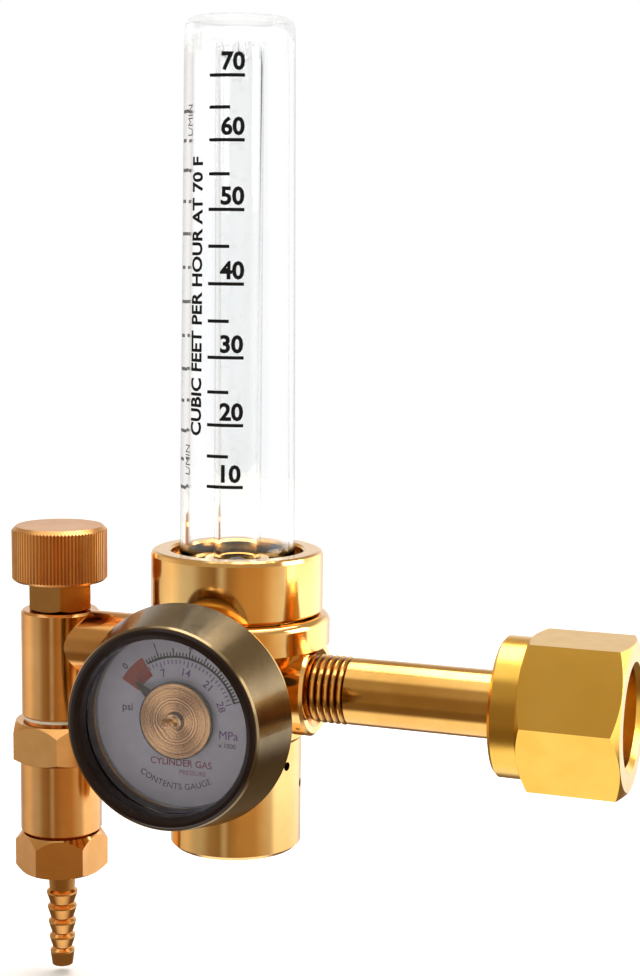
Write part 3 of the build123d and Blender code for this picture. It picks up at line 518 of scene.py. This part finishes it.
# ---------------------------------------------------------------- operators
class REGULATOR_OT_stage(bpy.types.Operator):
    """Camera, pale floor, soft lights and the studio's surroundings"""
    bl_idname = "regulator.stage"
    bl_label = "Studio stage"

    def execute(self, context):
        stage = context.scene.regulator_stage
        self.camera(context.scene, stage)
        self.floor(context.scene, stage)
        self.lights(context.scene)
        self.surroundings(context.scene)
        context.scene.view_settings.view_transform = "Standard"
        return {"FINISHED"}

    def camera(self, scene, stage):
        lens = bpy.data.cameras.new("camera")
        lens.lens = stage.lens
        lens.clip_start = 0.01
        camera = bpy.data.objects.new("camera", lens)
        scene.collection.objects.link(camera)
        scene.camera = camera
        back = self.back(stage)
        tilt = Matrix.Rotation(stage.tilt, 4, "Z")
        camera.matrix_world = (Matrix.Translation(CAMERA_AIM + back * stage.distance)
                               @ (-back).to_track_quat("-Z", "Y").to_matrix().to_4x4() @ tilt)

    def back(self, stage):
        """The direction from the aim back to the camera."""
        level = math.cos(stage.elevation)
        return Vector((math.sin(stage.azimuth) * level, -math.cos(stage.azimuth) * level,
                       math.sin(stage.elevation)))

    def floor(self, scene, stage):
        bm = bmesh.new()
        bmesh.ops.create_circle(bm, cap_ends=True, segments=96, radius=stage.floor_radius)
        level = CAD_BOX[0][2] - stage.floor_gap
        bmesh.ops.translate(bm, verts=bm.verts, vec=(0, 0, level))
        mesh = bpy.data.meshes.new("floor")
        bm.to_mesh(mesh)
        bm.free()
        material, tree, shader = surface("matt_white_paper", Roughness=0.9)
        place = add(tree, "ShaderNodeTexCoord").outputs["Object"]
        fibre = add(tree, "ShaderNodeTexNoise", {"Scale": per_mm(40), "Detail": 2.0}, {"Vector": place})
        tint = add(tree, "ShaderNodeMix",
                   {"data_type": "RGBA", 6: linear("#fbfbfb"), 7: linear("#f7f7f6")},
                   {0: fibre.outputs[0]})
        tree.links.new(tint.outputs[2], shader.inputs["Base Color"])
        mesh.materials.append(material)
        floor = bpy.data.objects.new("floor", mesh)
        scene.collection.objects.link(floor)
        floor.visible_glossy = False

    def lights(self, scene):
        for name, place, size, power in (
            ("overhead_softbox", (-0.05, 0.3, 0.85), 0.6, 6.0),
            ("side_softbox", (0.75, 0.25, 0.35), 0.5, 5.0),
            ("front_fill", (-0.25, -0.9, 0.45), 0.5, 1.2),
        ):
            lamp = bpy.data.lights.new(name, "AREA")
            lamp.energy = power
            lamp.size = size
            holder = bpy.data.objects.new(name, lamp)
            holder.visible_glossy = name != "front_fill"      # the fill only lifts the printed dial
            scene.collection.objects.link(holder)
            turn = (LIGHTS_AIM - Vector(place)).to_track_quat("-Z", "Y")
            holder.matrix_world = Matrix.Translation(place) @ turn.to_matrix().to_4x4()

    def surroundings(self, scene):
        """White background, straight on or through glass; reflections see panels and warm dark gaps."""
        world = bpy.data.worlds.new("studio")
        world.use_nodes = True
        scene.world = world
        tree = world.node_tree
        tree.nodes.clear()
        look = add(tree, "ShaderNodeTexCoord").outputs["Generated"]
        axes = add(tree, "ShaderNodeSeparateXYZ", {}, {0: look})
        heading = add(tree, "ShaderNodeMath", {"operation": "ARCTAN2"},
                      {0: axes.outputs[1], 1: axes.outputs[0]})
        around = add(tree, "ShaderNodeMapRange", {"From Min": -math.pi, "From Max": math.pi},
                     {"Value": heading.outputs[0]})
        panels = add(tree, "ShaderNodeValToRGB", {"stops": [
            (self.turn(-180), self.grey(1.0, 0.9)),
            (self.turn(-164), self.grey(1.15, 0.9)),
            (self.turn(-146), self.grey(0.72, 1.05)),
            (self.turn(-130), self.grey(0.64, 1.05)),
            (self.turn(-116), self.grey(0.38, 0.7)),
            (self.turn(-97), self.grey(0.26, 0.5)),
            (self.turn(-88), self.grey(0.66, 1.0)),
            (self.turn(-80), self.grey(0.34, 0.5)),
            (self.turn(-61), self.grey(0.56, 0.5)),
            (self.turn(-34), self.grey(0.62, 0.5)),
            (self.turn(-20), self.grey(0.86, 0.75)),
            (self.turn(-4), self.grey(0.95, 1.0)),
            (self.turn(6), self.grey(1.9, 1.05)),
            (self.turn(70), self.grey(1.9, 1.05)),
            (self.turn(88), self.grey(1.0, 1.0)),
            (self.turn(135), self.grey(0.9, 1.0)),
            (self.turn(155), self.grey(0.6, 0.75)),
            (self.turn(180), self.grey(1.0, 0.9)),
        ]}, {0: around.outputs[0]})
        rise = add(tree, "ShaderNodeMath", {"operation": "ARCSINE"}, {0: axes.outputs[2]})
        height = add(tree, "ShaderNodeMapRange", {"From Min": -math.pi / 2, "From Max": math.pi / 2},
                     {"Value": rise.outputs[0]})
        tiers = add(tree, "ShaderNodeValToRGB", {"stops": [
            (0.0, self.grey(1.4, 1.0)),
            (self.lift(-58), self.grey(1.4, 1.0)),
            (self.lift(-48), self.grey(0.24, 0.6)),
            (self.lift(-24), self.grey(0.22, 0.6)),
            (self.lift(-10), self.grey(0.45, 0.75)),
            (self.lift(12), self.grey(0.56, 0.8)),
            (self.lift(49), self.grey(0.5, 0.8)),
            (self.lift(57), self.grey(1.3, 1.0)),
            (1.0, self.grey(1.6, 1.0)),
        ]}, {0: height.outputs[0]})
        steep = add(tree, "ShaderNodeMath", {"operation": "ABSOLUTE"}, {0: axes.outputs[2]})
        share = add(tree, "ShaderNodeMapRange",
                    {"interpolation_type": "SMOOTHSTEP", "From Min": 0.2, "From Max": 0.5},
                    {"Value": steep.outputs[0]})
        room = add(tree, "ShaderNodeMix", {"data_type": "RGBA"},
                   {0: share.outputs[0], 6: panels.outputs[0], 7: tiers.outputs[0]})
        seen = add(tree, "ShaderNodeBackground", {"Color": linear("#ffffff"), "Strength": 1.0})
        lined = add(tree, "ShaderNodeBackground", {"Strength": 2.0}, {"Color": room.outputs[2]})
        rays = add(tree, "ShaderNodeLightPath")
        ahead = add(tree, "ShaderNodeVectorMath",
                    {"operation": "DOT_PRODUCT", 1: -self.back(scene.regulator_stage)}, {0: look})
        either_way = add(tree, "ShaderNodeMath", {"operation": "ABSOLUTE"}, {0: ahead.outputs["Value"]})
        little_bent = add(tree, "ShaderNodeMapRange",
                          {"From Min": 0.35, "From Max": 0.9, "To Min": 0.35},
                          {"Value": either_way.outputs[0]})
        through = add(tree, "ShaderNodeMath", {"operation": "MULTIPLY"},
                      {0: rays.outputs["Is Transmission Ray"], 1: little_bent.outputs[0]})
        straight = add(tree, "ShaderNodeMath", {"operation": "MAXIMUM"},
                       {0: rays.outputs["Is Camera Ray"], 1: through.outputs[0]})
        either = add(tree, "ShaderNodeMixShader", {},
                     {0: straight.outputs[0], 1: lined.outputs[0], 2: seen.outputs[0]})
        add(tree, "ShaderNodeOutputWorld", {}, {0: either.outputs[0]})

    def turn(self, degrees):
        """A heading's place on the ramp, from -180 to 180 degrees."""
        return degrees / 360 + 0.5

    def lift(self, degrees):
        """An elevation's place on the ramp, from -90 to 90 degrees."""
        return degrees / 180 + 0.5

    def grey(self, level, coolness):
        """A panel's brightness, half scale, warmer where coolness is below 1."""
        half = level / 2
        return (half, half * (0.25 + 0.75 * coolness), half * (0.1 + 0.9 * coolness) * coolness, 1.0)


class REGULATOR_OT_brass_parts(bpy.types.Operator):
    """Brass finishes for the body, inlet, valve and outlet"""
    bl_idname = "regulator.brass_parts"
    bl_label = "Brass parts"

    def execute(self, context):
        looks = context.scene.regulator_looks
        coat(polished_brass(looks), "main_body", "tube_ring_nut", "piston_housing")
        coat(threaded_stem_brass(), "inlet_nipple")
        coat(forged_brass(looks), "inlet_nut")
        valve = machined_brass("turned_valve_brass", linear("#e2a866"), linear("#d39550"), 0.12, 0.5)
        coat(valve, "valve_body", "outlet_adapter", "hose_nut", "hose_barb")
        gland = machined_brass("milled_gland_brass", linear("#bd8646"), linear("#a8733a"), 0.22, 0.5)
        coat(gland, "gland_nut")
        knurl = machined_brass("knurled_knob_brass", linear("#e3a968"), linear("#cf9052"), 0.28, 0.35)
        coat(knurl, "knob")
        works = machined_brass("stamped_movement_brass", linear("#dcb66a"), linear("#c79c52"), 0.3, 0.5, "Y")
        coat(works, "pointer_pinion", "sector_gear", "tip_link", "movement_back_plate",
             "movement_front_plate", "movement_pillars", "gauge_socket", "gauge_case")
        coat(machined_brass("sealed_inner_brass", linear("#dfb468"), linear("#c99a50"), 0.25, 0.5),
             "seat_nozzle", "piston", "ball_stop")
        bronze = machined_brass("phosphor_bronze_strip", linear("#d39a6a"), linear("#b77f52"), 0.3, 0.6, "Y")
        coat(bronze, "bourdon_tube", "hairspring")
        sintered = machined_brass("sintered_bronze", linear("#a4804e"), linear("#7d6039"), 0.6, 0.3)
        coat(sintered, "inlet_filter")
        return {"FINISHED"}


class REGULATOR_OT_small_parts(bpy.types.Operator):
    """Steel, rubber and nylon finishes for the small parts"""
    bl_idname = "regulator.small_parts"
    bl_label = "Small parts"

    def execute(self, context):
        coat(drawn_steel("bright_drawn_steel", linear("#c9cacc"), 0.22),
             "main_spring", "movement_screws", "valve_stem", "knob_set_screw")
        coat(drawn_steel("dark_polished_ball", linear("#3c3d40"), 0.12), "float_ball")
        rubber = glossy_moulding("moulded_nitrile_rubber", linear("#171717"), linear("#242424"), 0.55)
        coat(rubber, "piston_flange_o_ring", "piston_stem_o_ring", "cover_o_ring", "tube_foot_seal",
             "tube_foot_o_ring", "stem_o_ring", "case_relief_plug")
        nylon = glossy_moulding("machined_nylon", linear("#e8e2cf"), linear("#d6cdb2"), 0.4)
        coat(nylon, "seat_pad", "inlet_washer", "adapter_washer")
        return {"FINISHED"}


class REGULATOR_OT_flow_tube(bpy.types.Operator):
    """Clear cover and inner tube"""
    bl_idname = "regulator.flow_tube"
    bl_label = "Flow tube"

    def execute(self, context):
        coat(polished_cover(), "flow_tube_cover", "tube_top_cap")
        coat(clear_moulding("drawn_borosilicate_glass", linear("#fafcfc"), 1.47), "flow_tube")
        return {"FINISHED"}


class REGULATOR_OT_flow_scale(bpy.types.Operator):
    """Printed marks, figures and words on the clear cover"""
    bl_idname = "regulator.flow_scale"
    bl_label = "Flow scale"

    def execute(self, context):
        scale = context.scene.regulator_flow_scale
        black = ink("screen_printed_black", linear("#101010"))
        grey = ink("screen_printed_grey", linear("#6f6f6f"))
        marks = []
        for flow in range(10, scale.top_mark + 1, 5):
            last = scale.short_end if flow % 10 else scale.long_end
            marks.append(self.mark(scale, self.height(scale, flow), scale.line_start, last))
        piece(gather(marks), "flow_scale_marks", black, "regulator")
        figures = []
        for flow in range(10, scale.top_mark + 1, 10):
            figure = lettering(str(flow), scale.figure, 0.034)
            middle_height = self.height(scale, flow) + scale.line / 2 + 0.5 * MM + scale.figure / 2
            figures.append((self.wrap(figure, scale.figure_angle, middle_height), Matrix.Identity(4)))
        piece(gather(figures), "flow_scale_figures", black, "regulator")
        words = lettering(scale.words, 3.0 * MM, 0.03)
        words.transform(Matrix.Rotation(math.pi / 2, 4, "Z"))
        piece(self.wrap(words, scale.words_angle, scale.words_height), "flow_scale_words", black,
              "regulator")
        second = []
        for flow in range(10, scale.top_mark + 1, 5):
            last = math.radians(-136 if flow % 10 else -130)
            height = self.height(scale, flow) * 0.93 + 2 * MM      # litres a minute fall a little closer
            second.append(self.mark(scale, height, math.radians(-146), last))
        for height in (46 * MM, 112 * MM):
            unit = lettering("L/MIN", 1.7 * MM)
            unit.transform(Matrix.Rotation(math.pi / 2, 4, "Z"))
            second.append((self.wrap(unit, math.radians(-127), height), Matrix.Identity(4)))
        piece(gather(second), "second_scale_marks", grey, "regulator")
        return {"FINISHED"}

    def height(self, scale, flow):
        """How high a flow is printed: nearly even, bowed by the taper of the inner tube."""
        steps = flow - 10
        return scale.first_height + scale.rise * steps - scale.bow * math.sin(math.tau * steps / 60)

    def mark(self, scale, height, start, end):
        """One printed line between two angles round the cover."""
        radius = self.radius(height)
        line = bar((end - start) * radius, scale.line)
        return self.wrap(line, (start + end) / 2, height), Matrix.Identity(4)

    def radius(self, height):
        """The cover's outer radius at a height."""
        share = (height - COVER_LOW) / (COVER_HIGH - COVER_LOW)
        return COVER_LOW_R + (COVER_HIGH_R - COVER_LOW_R) * share

    def wrap(self, bm, angle, height):
        """Bends a flat print on to the cover, centred at an angle and a height."""
        reach = max(abs(v.co.x) for v in bm.verts)
        step = 0.6 * MM
        for index in range(-int(reach / step), int(reach / step) + 1):
            bmesh.ops.bisect_plane(bm, geom=[*bm.verts, *bm.edges, *bm.faces], dist=1e-8,
                                   plane_co=(index * step, 0, 0), plane_no=(1, 0, 0))
        bmesh.ops.triangulate(bm, faces=[f for f in bm.faces if len(f.verts) > 4])
        middle_r = self.radius(height)
        for vert in bm.verts:
            turn = angle + vert.co.x / middle_r
            level = height + vert.co.y
            out = self.radius(level) + PRINT_LIFT + vert.co.z
            vert.co = BODY_AXIS + Vector((out * math.cos(turn), out * math.sin(turn), level))
        return bm


class REGULATOR_OT_gauge_shell(bpy.types.Operator):
    """Bezel, lip, window, dial paint and pointer"""
    bl_idname = "regulator.gauge_shell"
    bl_label = "Gauge shell"

    def execute(self, context):
        looks = context.scene.regulator_looks
        coat(satin_bronze(looks), "gauge_bezel")
        lip = glossy_moulding("glossy_dark_lip", linear("#140b09"), linear("#20130f"), 0.2, 0.25)
        coat(lip, "lens_ring")
        coat(clear_moulding("moulded_clear_window", linear("#f4f4f6"), 1.49), "gauge_lens")
        paint = glossy_moulding("printed_dial_paint", looks.dial, linear("#96939c"), 0.8, 0.15)
        coat(paint, "gauge_dial")
        coat(spun_pointer(looks), "pointer")
        return {"FINISHED"}


class REGULATOR_OT_dial_print(bpy.types.Operator):
    """Printed arcs, marks, figures and words on the gauge's dial"""
    bl_idname = "regulator.dial_print"
    bl_label = "Dial print"

    def execute(self, context):
        dial = context.scene.regulator_dial
        black = ink("dial_ink_black", linear("#17151a"))
        purple = ink("dial_ink_purple", linear("#5b3470"))
        red = ink("dial_ink_brick_red", linear("#8c2a18"))
        maroon = ink("dial_ink_maroon", linear("#7d2c49"))
        radius = dial.scale_r

        outer = [(band(radius, radius + 0.45 * MM, 20, 122), self.at(0, 0))]
        for index in range(dial.low_marks, dial.divisions + 1):
            length = (1.9 if index % 5 == 0 else 1.1) * MM
            outer.append(self.tick(dial, index / dial.divisions, radius + length / 2, length, 0.26 * MM))
        for index in range(5):
            outer.append(self.figure(dial, str(index), index / 4, radius + 2.7 * MM, 1.3 * MM))
        outer.append((lettering("psi", 1.9 * MM, 0.012), self.at(-10.6 * MM, 1.2 * MM)))
        outer.append((lettering("x 1000", 0.9 * MM), self.at(9.9 * MM, -4.2 * MM)))
        piece(gather(outer), "dial_outer_scale", black, "regulator")

        inner = []
        for index in range(29):
            length = (1.3 if index % 7 == 0 else 0.8) * MM
            inner.append(self.tick(dial, index / 28, radius - 0.35 * MM - length / 2, length, 0.2 * MM))
        for pressure in range(7, 29, 7):
            inner.append(self.figure(dial, str(pressure), pressure / 28, radius - 2.6 * MM, 1.5 * MM))
        inner.append((lettering("MPa", 1.6 * MM), self.at(10.2 * MM, -2.2 * MM)))
        piece(gather(inner), "dial_inner_scale", purple, "regulator")

        low = band(dial.band_inner_r, dial.band_outer_r, 124, 150)
        piece(gather([(low, self.at(0, 0))]), "dial_low_band", red, "regulator")

        words = [(lettering("CYLINDER GAS", 1.35 * MM, 0.012), self.at(0.5 * MM, -8.4 * MM)),
                 (lettering("PRESSURE", 0.9 * MM), self.at(2.9 * MM, -10.2 * MM))]
        piece(gather(words), "dial_words", maroon, "regulator")
        edge = self.curved_words("CONTENTS GAUGE", 1.2 * MM, dial.edge_words_r, math.radians(-93))
        piece(edge, "dial_edge_words", black, "regulator")
        return {"FINISHED"}

    def at(self, right, up, turn=0.0):
        """A place on the dial's face: right and up from its centre, turned anticlockwise."""
        face = Matrix(((1, 0, 0, GAUGE_CENTRE.x + right), (0, 0, -1, DIAL_FACE_Y - PRINT_LIFT),
                       (0, 1, 0, GAUGE_CENTRE.z + up), (0, 0, 0, 1)))
        return face @ Matrix.Rotation(turn, 4, "Z")

    def tick(self, dial, share, radius, length, width):
        """A short line across the arc at a share of the sweep."""
        angle = dial.start - dial.sweep * share
        return (bar(length, width), self.at(radius * math.cos(angle), radius * math.sin(angle), angle))

    def figure(self, dial, words, share, radius, height):
        """A figure upright to the dial's centre at a share of the sweep."""
        angle = dial.start - dial.sweep * share
        return (lettering(words, height, 0.01),
                self.at(radius * math.cos(angle), radius * math.sin(angle), angle - math.pi / 2))

    def curved_words(self, words, height, radius, centred):
        """One line of words bent along the dial's lower edge, centred at an angle."""
        bm = lettering(words, height)
        for vert in bm.verts:
            angle = centred + vert.co.x / radius
            out = radius - vert.co.y
            vert.co = Vector((out * math.cos(angle), out * math.sin(angle), vert.co.z))
        bm.transform(self.at(0, 0))
        return bm


class REGULATOR_PT_panel(bpy.types.Panel):
    """Lists the regulator's pieces"""
    bl_idname = "REGULATOR_PT_panel"
    bl_label = "Gas regulator"
    bl_space_type = "VIEW_3D"
    bl_region_type = "UI"
    bl_category = "Regulator"

    def draw(self, context):
        scene = context.scene
        for made in OPERATORS:
            self.layout.operator(made.bl_idname)
        for group in (scene.regulator_looks, scene.regulator_flow_scale, scene.regulator_dial,
                      scene.regulator_stage):
            box = self.layout.box()
            for name in group.bl_rna.properties.keys():
                if name not in ("rna_type", "name"):
                    box.prop(group, name)


OPERATORS = (
    REGULATOR_OT_stage,
    REGULATOR_OT_brass_parts,
    REGULATOR_OT_small_parts,
    REGULATOR_OT_flow_tube,
    REGULATOR_OT_flow_scale,
    REGULATOR_OT_gauge_shell,
    REGULATOR_OT_dial_print,
)
GROUPS = {
    "regulator_looks": RegulatorLooks,
    "regulator_flow_scale": RegulatorFlowScale,
    "regulator_dial": RegulatorDial,
    "regulator_stage": RegulatorStage,
}


def register():
    for group in GROUPS.values():
        bpy.utils.register_class(group)
    for made in (*OPERATORS, REGULATOR_PT_panel):
        bpy.utils.register_class(made)
    for name, group in GROUPS.items():
        setattr(bpy.types.Scene, name, PointerProperty(type=group))


def unregister():
    for name in GROUPS:
        delattr(bpy.types.Scene, name)
    for made in (REGULATOR_PT_panel, *OPERATORS, *GROUPS.values()):
        bpy.utils.unregister_class(made)


def main():
    register()
    bpy.ops.regulator.stage()
    bpy.ops.regulator.brass_parts()
    bpy.ops.regulator.small_parts()
    bpy.ops.regulator.flow_tube()
    bpy.ops.regulator.flow_scale()
    bpy.ops.regulator.gauge_shell()
    bpy.ops.regulator.dial_print()
    bpy.context.view_layer.update()


if __name__ == "__main__":
    main()
